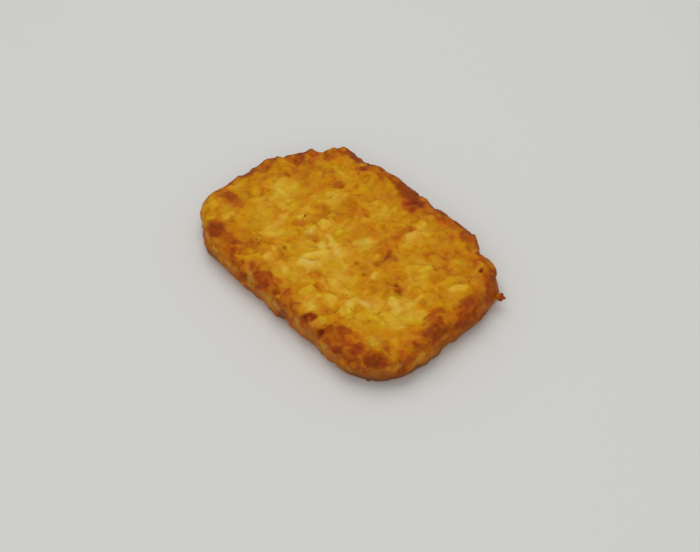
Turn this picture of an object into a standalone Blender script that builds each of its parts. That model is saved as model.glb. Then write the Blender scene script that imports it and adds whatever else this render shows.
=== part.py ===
"""Fried hash brown patty: potato pieces pressed into one slab with rounded corners.

The patty is one solid. Its frame has +Z up, +X along its length and its origin
on the resting plane, under the middle of its bounding box.
"""

import math

import bmesh
import bpy
from mathutils import Vector, noise

MM = 0.001  # one millimetre, in metres

# Driving dimensions
LENGTH = 100.0 * MM  # along X, over the pressed slab
WIDTH = 67.0 * MM  # along Y
THICKNESS = 11.5 * MM  # at the middle of the top face
WIDEST_HEIGHT = 0.42 * THICKNESS  # the height at which the side stands furthest out
TOP_RIM_RUN = 5.0 * MM  # how far in the rounding of the upper edge reaches
FOOT_RIM_RUN = 3.4 * MM  # the same for the lower edge

# Corner radii of the slab, by the signs of X and Y
CORNER_RADII = {
    (-1, -1): 17.0 * MM,
    (1, -1): 18.5 * MM,
    (1, 1): 20.0 * MM,
    (-1, 1): 27.0 * MM,
}

# Where the outline leaves the plain slab: (x, y, how far out, half width).
EDGE_FEATURES = (
    (-47.0 * MM, 15.0 * MM, -3.2 * MM, 7.0 * MM),  # the short side slants in
    (-41.0 * MM, 25.5 * MM, -4.2 * MM, 4.0 * MM),  # notch before the knob
    (-37.0 * MM, 30.5 * MM, 1.2 * MM, 2.5 * MM),  # knob on the far left corner
    (-26.0 * MM, 33.5 * MM, -3.0 * MM, 5.0 * MM),  # dip after the knob
    (7.5 * MM, 33.5 * MM, -1.0 * MM, 2.5 * MM),  # nick in the long side
    (33.0 * MM, 33.0 * MM, -4.0 * MM, 5.0 * MM),  # dent in the far right corner
    (43.5 * MM, 27.0 * MM, -2.5 * MM, 5.0 * MM),  # shoulder after the dent
    (49.0 * MM, 17.5 * MM, -1.6 * MM, 5.0 * MM),  # the short side draws in above it
    (-41.5 * MM, -30.0 * MM, -3.2 * MM, 7.0 * MM),  # flattened near left corner
)
EDGE_RIPPLE = 0.45 * MM  # potato pieces that show at the rim
EDGE_RIPPLE_LENGTH = 5.5 * MM

# Relief of the pressed pieces
PIECE_SIZE = 6.5 * MM  # a typical piece of potato under the crust
TOP_RELIEF = 0.6 * MM
SIDE_RELIEF = 0.6 * MM
SWELL_SIZE = 26.0 * MM  # slow rise and fall of the whole top face
SWELL = 0.45 * MM
FOOT_PAD_RADIUS = 13.0 * MM  # flat spot under the middle
FOOT_HOLLOW = 0.9 * MM  # deepest hollow of the underside outside that spot
FOOT_HOLLOW_SIZE = 9.0 * MM

# Resolution of the mesh
CELLS_X = 42
CELLS_Y = 28
SIDE_RINGS = 7

CRUST_COLOUR = (0.44, 0.19, 0.022, 1.0)
CRUST_ROUGHNESS = 0.5


def clear_scene():
    for old in list(bpy.data.objects):
        bpy.data.objects.remove(old)


def smooth_noise(x, y, z, size, seed):
    """Smooth noise from about -1 to 1 whose bumps are about this size."""
    return noise.noise(Vector((x, y, z)) / size + Vector((seed, 2.0 * seed, 0.0)))


def pressed_pieces(x, y, z, size, seed):
    """1 on the crown of a potato piece, falling to about -1 in the seam between two."""
    place = Vector((x, y, z)) / size + Vector((seed, 0.0, seed))
    nearest, second = noise.voronoi(place)[0][:2]
    return min(1.0, 2.2 * (second - nearest)) * 2.0 - 1.0


def slab_edge(u, v):
    """The plain slab's outline point and its outward direction, for (u, v) on a square's rim."""
    half_x, half_y = LENGTH / 2, WIDTH / 2
    x, y = u * half_x, v * half_y
    side_x, side_y = (1 if x > 0 else -1), (1 if y > 0 else -1)
    radius = CORNER_RADII[side_x, side_y]
    centre_x, centre_y = side_x * (half_x - radius), side_y * (half_y - radius)
    past_x, past_y = (x - centre_x) * side_x, (y - centre_y) * side_y
    if past_x > 0 and past_y > 0:
        outward = Vector((x - centre_x, y - centre_y)).normalized()
        return Vector((centre_x, centre_y)) + outward * radius, outward
    if abs(u) > abs(v):
        return Vector((x, y)), Vector((side_x, 0.0))
    return Vector((x, y)), Vector((0.0, side_y))


def outline(u, v):
    """The real outline's point and outward direction: the slab's edge, then its features and ripple."""
    edge, outward = slab_edge(u, v)
    out = EDGE_RIPPLE * smooth_noise(edge.x, edge.y, 0.0, EDGE_RIPPLE_LENGTH, 4.2)
    for x, y, reach, half_width in EDGE_FEATURES:
        away = (edge - Vector((x, y))).length / half_width
        out += reach * math.exp(-away * away)
    return edge + outward * out, outward


def top_height(x, y):
    """Height of the top face before the rim rounds it off."""
    swell = SWELL * smooth_noise(x, y, 0.0, SWELL_SIZE, 7.7)
    pieces = TOP_RELIEF * 0.5 * pressed_pieces(x, y, 0.0, PIECE_SIZE, 1.3)
    return THICKNESS - TOP_RELIEF * 0.5 + swell + pieces


def foot_height(x, y):
    """Height of the underside: flat under the middle, shallow hollows further out."""
    outside_pad = min(1.0, max(0.0, math.hypot(x, y) / FOOT_PAD_RADIUS - 1.0))
    hollow = max(0.0, smooth_noise(x, y, 0.0, FOOT_HOLLOW_SIZE, 9.1))
    return FOOT_HOLLOW * hollow * outside_pad


def side_point(u, v, turn):
    """A point of the rounded side: turn is 90 degrees at the top face, -90 at the underside."""
    edge, outward = outline(u, v)
    run = TOP_RIM_RUN if turn > 0 else FOOT_RIM_RUN
    inset = run * (1.0 - math.cos(turn))
    flat = edge - outward * inset
    end = top_height(flat.x, flat.y) if turn > 0 else foot_height(flat.x, flat.y)
    height = WIDEST_HEIGHT + (end - WIDEST_HEIGHT) * abs(math.sin(turn))
    bulge = SIDE_RELIEF * 0.5 * pressed_pieces(flat.x, flat.y, height, PIECE_SIZE, 5.6)
    flat += outward * bulge * math.cos(turn)
    return Vector((flat.x, flat.y, height))


def face_point(u, v, rim_turn, height_at):
    """A point of the top face or the underside, drawn in from the rim towards the middle."""
    reach = max(abs(u), abs(v))
    if reach == 0.0:
        return Vector((0.0, 0.0, height_at(0.0, 0.0)))
    rim = side_point(u / reach, v / reach, rim_turn)
    x, y = rim.x * reach, rim.y * reach
    return Vector((x, y, height_at(x, y)))


def square_rim():
    """Grid indices round the square's rim, anticlockwise from its lower left corner."""
    return (
        [(i, 0) for i in range(CELLS_X)]
        + [(CELLS_X, j) for j in range(CELLS_Y)]
        + [(i, CELLS_Y) for i in range(CELLS_X, 0, -1)]
        + [(0, j) for j in range(CELLS_Y, 0, -1)]
    )


def square_place(i, j):
    return 2.0 * i / CELLS_X - 1.0, 2.0 * j / CELLS_Y - 1.0


def add_face_grid(bm, rim_turn, height_at):
    """The vertices of the top face or the underside, by grid index."""
    grid = {}
    for i in range(CELLS_X + 1):
        for j in range(CELLS_Y + 1):
            grid[i, j] = bm.verts.new(face_point(*square_place(i, j), rim_turn, height_at))
    return grid


def add_grid_quads(bm, grid, upwards):
    for i in range(CELLS_X):
        for j in range(CELLS_Y):
            corners = [grid[i, j], grid[i + 1, j], grid[i + 1, j + 1], grid[i, j + 1]]
            bm.faces.new(corners if upwards else corners[::-1])


def make_patty_mesh():
    bm = bmesh.new()
    top = add_face_grid(bm, math.pi / 2, top_height)
    foot = add_face_grid(bm, -math.pi / 2, foot_height)
    add_grid_quads(bm, top, upwards=True)
    add_grid_quads(bm, foot, upwards=False)
    rim = square_rim()
    rings = [[top[index] for index in rim]]
    for ring in range(1, SIDE_RINGS + 1):
        turn = math.pi * (0.5 - ring / (SIDE_RINGS + 1))
        rings.append([bm.verts.new(side_point(*square_place(*index), turn)) for index in rim])
    rings.append([foot[index] for index in rim])
    for upper, lower in zip(rings, rings[1:]):
        for k in range(len(rim)):
            after = (k + 1) % len(rim)
            bm.faces.new([upper[k], lower[k], lower[after], upper[after]])
    mesh = bpy.data.meshes.new("hash_brown_patty")
    bm.to_mesh(mesh)
    bm.free()
    mesh.shade_smooth()
    return mesh


def centre_on_origin(mesh):
    """Puts the origin under the middle of the bounding box, on the resting plane."""
    corners = [vertex.co for vertex in mesh.vertices]
    middle_x = (min(c.x for c in corners) + max(c.x for c in corners)) / 2
    middle_y = (min(c.y for c in corners) + max(c.y for c in corners)) / 2
    lowest = min(c.z for c in corners)
    for vertex in mesh.vertices:
        vertex.co -= Vector((middle_x, middle_y, lowest))


def crust_material():
    material = bpy.data.materials.new("fried_crust")
    material.use_nodes = True
    shader = material.node_tree.nodes["Principled BSDF"]
    shader.inputs["Base Color"].default_value = CRUST_COLOUR
    shader.inputs["Roughness"].default_value = CRUST_ROUGHNESS
    shader.inputs["Metallic"].default_value = 0.0
    return material


def make_patty():
    mesh = make_patty_mesh()
    centre_on_origin(mesh)
    mesh.materials.append(crust_material())
    patty = bpy.data.objects.new("patty", mesh)
    bpy.context.scene.collection.objects.link(patty)
    return patty


clear_scene()
make_patty()
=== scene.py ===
# %% [markdown]
# # A fried hash brown patty
# The real thing is grated and chopped potato, pressed into a slab and fried until its skin is golden.
# What the eye sees is a skin of pressed pieces, each a little higher and paler than the starch between
# them, with the rim fried darker, and the gaps and pits darker still by painted shade. The imported solid
# gives the slab's true size and outline.
# This lesson builds the skin around it, from the camera inwards to the last crumb.

# %% Load the imported solid
import math

import bmesh
import bpy
import numpy as np
from mathutils import Matrix, Vector, noise
from mathutils.bvhtree import BVHTree
from mathutils.kdtree import KDTree


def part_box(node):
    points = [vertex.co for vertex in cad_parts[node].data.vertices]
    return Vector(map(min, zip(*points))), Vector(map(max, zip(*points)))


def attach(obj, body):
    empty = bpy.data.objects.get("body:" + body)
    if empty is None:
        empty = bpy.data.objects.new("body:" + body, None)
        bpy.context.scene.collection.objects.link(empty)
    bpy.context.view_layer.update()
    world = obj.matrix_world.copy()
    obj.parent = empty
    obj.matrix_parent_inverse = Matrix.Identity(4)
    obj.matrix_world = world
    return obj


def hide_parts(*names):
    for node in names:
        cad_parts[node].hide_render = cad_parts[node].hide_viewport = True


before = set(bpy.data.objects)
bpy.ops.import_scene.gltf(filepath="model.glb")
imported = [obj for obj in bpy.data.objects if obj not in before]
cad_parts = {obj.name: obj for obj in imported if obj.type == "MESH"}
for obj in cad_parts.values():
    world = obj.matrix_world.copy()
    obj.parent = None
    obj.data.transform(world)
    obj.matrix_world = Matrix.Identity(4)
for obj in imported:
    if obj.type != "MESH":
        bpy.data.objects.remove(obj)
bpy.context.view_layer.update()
slab_low, slab_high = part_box("patty")
print("solid, mm:", [round(1000 * (high - low), 1) for low, high in zip(slab_low, slab_high)])

# %% [markdown]
# ## The camera
# The photograph looks down on the patty from a corner. A camera could be turned by hand until it fits, but
# that is slow and never quite right, so the angles and the lens were worked out once from the photograph's
# perspective and are set as numbers. The camera hangs on a rod: it aims at one point of the resting plane,
# and the rod has a length, a compass angle, a height angle and a small roll.

# %% Camera
MM = 0.001  # one millimetre in metres
SENSOR_WIDTH = 36.0  # this and the lens in millimetres, as Blender wants them
LENS_LENGTH = 65.65
NEAREST_SEEN = 10.0 * MM
AIM_POINT = Vector((5.4, -3.7, 0.0)) * MM
CAMERA_DISTANCE = 416.0 * MM
CAMERA_AZIMUTH = math.radians(-39.48)
CAMERA_ELEVATION = math.radians(47.37)
CAMERA_ROLL = math.radians(-2.70)


def link(name, data):
    """A new object in the scene that holds this mesh, lens or light."""
    thing = bpy.data.objects.new(name, data)
    bpy.context.scene.collection.objects.link(thing)
    return thing


def direction(azimuth, elevation):
    """A unit vector that points to this compass angle and height."""
    flat = math.cos(elevation)
    return Vector((flat * math.cos(azimuth), flat * math.sin(azimuth), math.sin(elevation)))


def aim_matrix(target, away, distance, roll=0.0):
    """Where something sits that looks at a target from that side and distance."""
    turn = away.to_track_quat("Z", "Y").to_matrix().to_4x4()
    return Matrix.Translation(target + away * distance) @ turn @ Matrix.Rotation(roll, 4, "Z")


def make_camera():
    """The camera of the main picture."""
    lens = bpy.data.cameras.new("camera")
    lens.sensor_width = SENSOR_WIDTH
    lens.lens = LENS_LENGTH
    lens.clip_start = NEAREST_SEEN
    camera = link("camera", lens)
    away = direction(CAMERA_AZIMUTH, CAMERA_ELEVATION)
    camera.matrix_world = aim_matrix(AIM_POINT, away, CAMERA_DISTANCE, CAMERA_ROLL)
    bpy.context.scene.camera = camera
    return camera


camera = make_camera()
print("camera at, mm:", [round(1000 * value) for value in camera.location])

# %% [markdown]
# ## Node helpers
# The surfaces and both pieces below are node trees. A few short helpers keep each tree readable: they pick
# a live socket, add a node with its settings and inputs, do arithmetic, map a range of numbers, make noise
# and granules, and make a tree with named sockets. Many nodes hide spare sockets of the same name for
# other kinds of data, so a socket is looked up among the ones that are switched on.

# %% Node helpers
FLOAT, INTEGER, COLOUR, VECTOR = "NodeSocketFloat", "NodeSocketInt", "NodeSocketColor", "NodeSocketVector"
GEOMETRY, OBJECT, MATERIAL = "NodeSocketGeometry", "NodeSocketObject", "NodeSocketMaterial"


def live(sockets, name):
    """The switched-on socket of that name, or the one with that number."""
    if isinstance(name, int):
        return sockets[name]
    return next(socket for socket in sockets if socket.name == name and socket.enabled)


def node(tree, kind, inputs=None, **settings):
    """Adds a node. An input is a plain value or another node's output."""
    made = tree.nodes.new(kind)
    for name, value in settings.items():
        setattr(made, name, value)
    for name, value in (inputs or {}).items():
        if isinstance(value, bpy.types.NodeSocket):
            tree.links.new(value, live(made.inputs, name))
        else:
            live(made.inputs, name).default_value = value
    return made


def add(tree, kind, inputs=None, output=0, **settings):
    """Adds a node and gives one of its outputs."""
    return live(node(tree, kind, inputs, **settings).outputs, output)


def calc(tree, operation, first, second=0.0, third=0.0):
    """One step of arithmetic on up to three numbers."""
    return add(tree, "ShaderNodeMath", {0: first, 1: second, 2: third}, operation=operation)


def times(tree, first, second, more=0.0):
    """The product of two numbers, with a third added to it."""
    return calc(tree, "MULTIPLY_ADD", first, second, more)


def plus(tree, first, second):
    """The sum of two vectors."""
    return add(tree, "ShaderNodeVectorMath", {0: first, 1: second}, operation="ADD")


def centred(tree, value, spread):
    """A number from 0 to 1 turned into one from minus to plus half this spread."""
    return times(tree, value, spread, -spread / 2.0)


def ramp(tree, value, low, high, at_low=0.0, at_high=1.0):
    """Maps low..high smoothly to at_low..at_high and holds the ends."""
    inputs = {"Value": value, "From Min": low, "From Max": high, "To Min": at_low, "To Max": at_high}
    return add(tree, "ShaderNodeMapRange", inputs, "Result", interpolation_type="SMOOTHSTEP")


def speckle(tree, place, size, detail=2.0, shift=0.0):
    """Noise from 0 to 1 with blotches about this many metres across."""
    moved = plus(tree, place, (shift, shift, shift))
    return add(tree, "ShaderNodeTexNoise", {"Vector": moved, "Scale": 1.0 / size, "Detail": detail})


def granules(tree, place, size):
    """0 at the middle of each granule of this size, rising to about 1 in the creases between them."""
    inputs = {"Vector": place, "Scale": 1.0 / size, "Randomness": 1.0}
    return add(tree, "ShaderNodeTexVoronoi", inputs, "Distance", feature="F1")


def new_tree(name, kind, inputs, outputs):
    """An empty tree, its inputs and its outputs. An input is given as a kind of socket or as a value."""
    tree = bpy.data.node_groups.new(name, kind)
    for label, value in inputs.items():
        socket_kind = {str: value, int: INTEGER, float: FLOAT}[type(value)]
        socket = tree.interface.new_socket(name=label, in_out="INPUT", socket_type=socket_kind)
        if socket_kind != value:
            socket.default_value = value
    for label, socket_kind in outputs.items():
        tree.interface.new_socket(name=label, in_out="OUTPUT", socket_type=socket_kind)
    return tree, tree.nodes.new("NodeGroupInput").outputs, tree.nodes.new("NodeGroupOutput").inputs


print("nodes named as in Blender", bpy.app.version_string)

# %% [markdown]
# ## How frying colours potato
# Fried potato runs from cream through gold and amber to red-brown, always along the same road. A painter
# could mix each patch by hand, but the road is the same everywhere, so one number, the doneness, is
# worked out for each point and one colour ramp turns it into a colour. Crust and crumbs both use it, so
# the effect is a node group.
# - A pale piece of potato pulls the doneness down. Browned places push it up, and so do gaps and pits, as
#   painted shade.
# - Noise of several sizes unsettles it, with painted shade in the creases between fine granules, less where
#   the crust is browned, because a browned place is even.
# - The hue drifts a little to both sides, towards red where the crust is browned.
# - The shade is a little uneven, and painted shade makes it darker in gaps, creases and pits.
# - Three tints lie over the road: chalk, where dry starch shows, tan, where the inside of the potato
#   shows on the side, partly a painted sheen there, and a dull brown, which is painted shade at the foot
#   and on the rim that turns away from the camera.

# %% The colour road
DONENESS_COLOURS = (
    (0.00, (226, 200, 118)),
    (0.09, (231, 188, 72)),
    (0.18, (227, 178, 48)),
    (0.36, (216, 152, 8)),
    (0.50, (206, 131, 0)),
    (0.64, (190, 102, 6)),
    (0.80, (162, 74, 10)),
    (1.00, (128, 46, 6)),
)
CHALK = (186, 140, 88)
# tan: pale potato showing on the side, partly a painted sheen that greys the side's colour
TAN = (174, 134, 66)
# painted shade: the dull dark brown of the foot and of the rim that turns away from the camera
SHADE_BROWN = (100, 62, 34)
MASKS = ("Pale Piece", "Browned", "Gap", "Pit", "Tan", "Dull")

# Each noise is the size of its blotches, its detail and a shift that sets it apart from the others.
BLOTCHES = (9.0 * MM, 2.0, 0.0)
MOTTLE = (2.4 * MM, 4.0, 0.3)
GRAIN = (0.55 * MM, 3.0, 0.7)
SPECKS = (1.3 * MM, 1.0, 5.7)
HUE_NOISE = (5.0 * MM, 2.0, 2.3)
SHADE_NOISE = (2.0 * MM, 4.0, 6.1)
CHALK_NOISE = (4.0 * MM, 2.0, 3.1)
OIL_NOISE = (5.0 * MM, 1.0, 1.1)

# Each range says from where to where a number runs, and what it gives at both ends.
SPECK_RANGE = (0.68, 0.78, 0.0, 0.2)
EVENED_RANGE = (0.3, 0.9, 1.0, 0.4)
CHALK_RANGE = (0.5, 0.8, 1.0, 0.0)
ROUGHNESS_RANGE = (0.3, 0.7, 0.45, 0.62)

# How far each thing moves the doneness, the hue and the shade
UNEVEN_SPREADS = ((BLOTCHES, 0.34), (MOTTLE, 0.14), (GRAIN, 0.27))
# granules whose creases are browner, a painted crease shade
CREASE_SIZE = 1.5 * MM
CREASE_SPREAD = 0.09
PALE_PULL = -0.28
# the pushes of Gap and Pit, here and on the shade below, are painted shade
DONENESS_PUSHES = {"Browned": 0.46, "Gap": 0.07, "Pit": 0.17}
NEUTRAL_HUE = 0.5
HUE_SPREAD = 0.068
BROWNED_HUE = -0.002
SHADE_SLOPE, SHADE_START = -0.24, 1.145
PAINTED_SHADE_PUSHES = {"Gap": -0.08, "Pit": -0.3}
CHALK_SLOPE, CHALK_START = 0.26, -0.11


def linear(colour):
    """8-bit screen values as the linear light that a shader works in, with a full alpha."""
    values = [channel / 255.0 for channel in colour]
    return [v / 12.92 if v <= 0.04045 else ((v + 0.055) / 1.055) ** 2.4 for v in values] + [1.0]


def tinted(tree, colour, share, tint):
    """A colour mixed with a fixed tint by this share."""
    inputs = {"Factor": share, "A": colour, "B": linear(tint)}
    return add(tree, "ShaderNodeMix", inputs, "Result", data_type="RGBA")


def pushed(tree, total, given, pushes):
    """A number with each of these inputs added, times its own push."""
    for name, push in pushes.items():
        total = times(tree, given[name], push, total)
    return total


def road_colour(tree, done):
    """The colour at this place on the road."""
    road = node(tree, "ShaderNodeValToRGB", {"Fac": done})
    stops = road.color_ramp.elements
    while len(stops) < len(DONENESS_COLOURS):
        stops.new(0.5)
    for stop, (position, colour) in zip(stops, DONENESS_COLOURS):
        stop.position = position
        stop.color = linear(colour)
    return road.outputs["Color"]


def make_fried_colour():
    """The group that turns what happened to a spot of potato into its colour and its roughness."""
    inputs = {"Place": VECTOR, "Doneness": 0.42, **dict.fromkeys(MASKS, 0.0)}
    outputs = {"Colour": COLOUR, "Roughness": FLOAT}
    tree, given, results = new_tree("fried_colour", "ShaderNodeTree", inputs, outputs)
    place = given["Place"]
    uneven = [centred(tree, speckle(tree, place, *kind), spread) for kind, spread in UNEVEN_SPREADS]
    # painted shade: browner in the creases between fine granules
    uneven.append(centred(tree, granules(tree, place, CREASE_SIZE), CREASE_SPREAD))
    uneven.append(ramp(tree, speckle(tree, place, *SPECKS), *SPECK_RANGE))
    varied = uneven[0]
    for term in uneven[1:]:
        varied = calc(tree, "ADD", varied, term)
    evened = ramp(tree, given["Browned"], *EVENED_RANGE)
    done = times(tree, varied, evened, given["Doneness"])
    paleness = times(tree, given["Pale Piece"], evened)
    done = times(tree, paleness, PALE_PULL, done)
    done = pushed(tree, done, given, DONENESS_PUSHES)
    drift = centred(tree, speckle(tree, place, *HUE_NOISE), HUE_SPREAD)
    drift = times(tree, drift, evened, NEUTRAL_HUE)
    drift = times(tree, given["Browned"], BROWNED_HUE, drift)
    shade = times(tree, speckle(tree, place, *SHADE_NOISE), SHADE_SLOPE, SHADE_START)
    shade = pushed(tree, shade, given, PAINTED_SHADE_PUSHES)
    inputs = {"Hue": drift, "Value": shade, "Color": road_colour(tree, done)}
    mixed = add(tree, "ShaderNodeHueSaturation", inputs)
    chalky = times(tree, speckle(tree, place, *CHALK_NOISE), CHALK_SLOPE, CHALK_START)
    chalky = times(tree, calc(tree, "MAXIMUM", chalky, 0.0), ramp(tree, done, *CHALK_RANGE))
    # the Dull tint is painted shade
    for share, tint in ((chalky, CHALK), (given["Tan"], TAN), (given["Dull"], SHADE_BROWN)):
        mixed = tinted(tree, mixed, share, tint)
    tree.links.new(mixed, results["Colour"])
    oily = ramp(tree, speckle(tree, place, *OIL_NOISE), *ROUGHNESS_RANGE)
    tree.links.new(oily, results["Roughness"])
    return tree


fried_colour = make_fried_colour()
print("colour stops:", len(DONENESS_COLOURS))

# %% [markdown]
# ## The skin's finest texture
# Seen close, the crust is finely blistered where starch and water met hot oil. Blisters under a
# millimetre are too small for the mesh, so they are a bump height: noise, with two sizes of cells whose
# rounded tops are the blisters. The crumbs have them too, so they are a second group.

# %% Blisters
BLISTER_SIZES = ((0.9 * MM, 0.35), (0.45 * MM, 0.22))


def make_blisters():
    """The group that gives the height of the finest blisters."""
    inputs = {"Place": VECTOR, "Size": 0.6 * MM}
    tree, given, results = new_tree("blisters", "ShaderNodeTree", inputs, {"Height": FLOAT})
    scale = calc(tree, "DIVIDE", 1.0, given["Size"])
    inputs = {"Vector": given["Place"], "Scale": scale, "Detail": 3.0, "Roughness": 0.6}
    fine = add(tree, "ShaderNodeTexNoise", inputs)
    for size, depth in BLISTER_SIZES:
        fine = times(tree, granules(tree, given["Place"], size), -depth, fine)
    tree.links.new(fine, results["Height"])
    return tree


blisters = make_blisters()
print("blister sizes, mm:", [round(size / MM, 2) for size, _ in BLISTER_SIZES])

# %% [markdown]
# ## One maker for both surfaces
# Crust and crumbs are the same fried potato, so one function makes both materials, where two made by hand
# would soon drift apart. It reads what happened to a spot from numbers stored on the mesh and asks the two
# groups for the colour, the roughness and the blisters. The shine is low, because the fat has soaked in.

# %% Material maker
POTATO_SHINE = 0.08
BUMP_STRENGTH = 0.6
BUMP_HEIGHT = 0.34 * MM


def new_material(name, shine):
    """A new material with this shine, its tree and its shader."""
    material = bpy.data.materials.new(name)
    material.use_nodes = True
    shader = material.node_tree.nodes["Principled BSDF"]
    shader.inputs["Specular IOR Level"].default_value = shine
    return material, material.node_tree, shader


def use_group(tree, group, inputs):
    """Places a node group in a material."""
    return node(tree, "ShaderNodeGroup", inputs, node_tree=group).outputs


def fried_material(name, doneness, masks):
    """A fried potato surface. Each mask is read from the attribute of its name in small letters."""
    material, tree, shader = new_material(name, POTATO_SHINE)
    place = add(tree, "ShaderNodeTexCoord", output="Object")
    inputs = {"Place": place, "Doneness": doneness}
    for mask in masks:
        attribute = mask.lower().replace(" ", "_")
        inputs[mask] = add(tree, "ShaderNodeAttribute", output="Fac", attribute_name=attribute)
    look = use_group(tree, fried_colour, inputs)
    tree.links.new(look["Colour"], shader.inputs["Base Color"])
    tree.links.new(look["Roughness"], shader.inputs["Roughness"])
    height = use_group(tree, blisters, {"Place": place})["Height"]
    inputs = {"Strength": BUMP_STRENGTH, "Distance": BUMP_HEIGHT, "Height": height}
    tree.links.new(add(tree, "ShaderNodeBump", inputs), shader.inputs["Normal"])
    return material


crust_material = fried_material("fried_crust", doneness=0.37, masks=MASKS)
print("materials:", [material.name for material in bpy.data.materials])

# %% [markdown]
# ## A fine, even skin to work on
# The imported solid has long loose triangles, good for collision and too coarse for relief. Cutting each
# into smaller ones would keep its uneven spacing, so a merged copy is wrapped in an even skin by a voxel
# remesh and eased by a few rounds of smoothing. Its points stand about half a millimetre apart.
# Smoothing rounds the outline off, so a few soft nudges bring the side back to the outline of the real
# patty. The foot is drawn in, because the patty stands on a rounded edge and shades the floor beneath it.

# %% Fine skin
OUTLINE_NUDGES = (  # where, in millimetres, how far it moves in x and in y, and its reach
    (-46.6, 9.8, 0.8, -0.2, 6),
    (34.7, 29.7, -0.1, -0.4, 4),
    (28.7, 30.7, 0.2, 0.5, 3),
    (22.7, 32.6, 0, 0.7, 4),
    (-14.3, 33.2, 0, -0.6, 3),
    (-26.3, 30.2, 0, 0.8, 3),
    (5, -32.4, 0, 0.2, 7),
    (46.9, -21.4, 0.5, -0.4, 6),
    (4.9, -31.8, 0, -0.7, 2.4),
    (48.6, -10.5, 0.7, 0, 6),
    (36.9, 28.9, -0.3, -0.9, 3),
)
FOOT_NUDGES = ((48.8, -1.9, -1.5, 0.2, 2.6), (31.7, -31.7, 0, 0.6, 2.4))
UNDERCUT = 0.35 * MM
UNDERCUT_HEIGHT = 3.5 * MM
MERGE_DISTANCE = 1e-6
SKIN_SPACING = 0.46 * MM
SKIN_SMOOTHING_ROUNDS = 6


def plain_mesh(piece, name):
    """What a piece's modifiers make, as a mesh without them."""
    graph = bpy.context.evaluated_depsgraph_get()
    mesh = bpy.data.meshes.new_from_object(piece.evaluated_get(graph))
    mesh.name = name
    return mesh


def read_vectors(mesh, name):
    """The place or the normal of each of the mesh's points, as an array with a row for each."""
    flat = np.empty(3 * len(mesh.vertices))
    mesh.vertices.foreach_get(name, flat)
    return flat.reshape(-1, 3)


def nudged(points, nudges):
    """How far each point moves, in x and y, when the side is pushed softly round each named place."""
    move = np.zeros((len(points), 2))
    for x, y, push_x, push_y, reach in nudges:
        away = np.hypot(points[:, 0] - x * MM, points[:, 1] - y * MM) / (reach * MM)
        move += np.exp(-away * away)[:, None] * (push_x * MM, push_y * MM)
    return move


def nudge_outline(mesh):
    """Brings the side to the real outline and draws its foot in."""
    points = read_vectors(mesh, "co")
    moved = points.copy()
    low = np.clip(1.0 - points[:, 2] / UNDERCUT_HEIGHT, 0.0, 1.0)
    moved[:, :2] += nudged(points, OUTLINE_NUDGES) + low[:, None] * nudged(points, FOOT_NUDGES)
    outward = points[:, :2] / np.linalg.norm(points[:, :2], axis=1)[:, None]
    moved[:, :2] -= UNDERCUT * low[:, None] * outward
    mesh.vertices.foreach_set("co", moved.ravel())
    mesh.update()


def make_fine_skin():
    """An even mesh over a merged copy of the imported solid."""
    copy = bmesh.new()
    copy.from_mesh(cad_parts["patty"].data)
    bmesh.ops.remove_doubles(copy, verts=copy.verts, dist=MERGE_DISTANCE)
    mesh = bpy.data.meshes.new("merged")
    copy.to_mesh(mesh)
    copy.free()
    carrier = link("skin_carrier", mesh)
    wrap = carrier.modifiers.new("wrap", "REMESH")
    wrap.mode = "VOXEL"
    wrap.voxel_size = SKIN_SPACING
    carrier.modifiers.new("ease", "SMOOTH").iterations = SKIN_SMOOTHING_ROUNDS
    skin = link("skin", plain_mesh(carrier, "skin"))
    bpy.data.objects.remove(carrier)
    nudge_outline(skin.data)
    return skin


skin = make_fine_skin()
print("skin faces:", len(skin.data.polygons))
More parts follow.
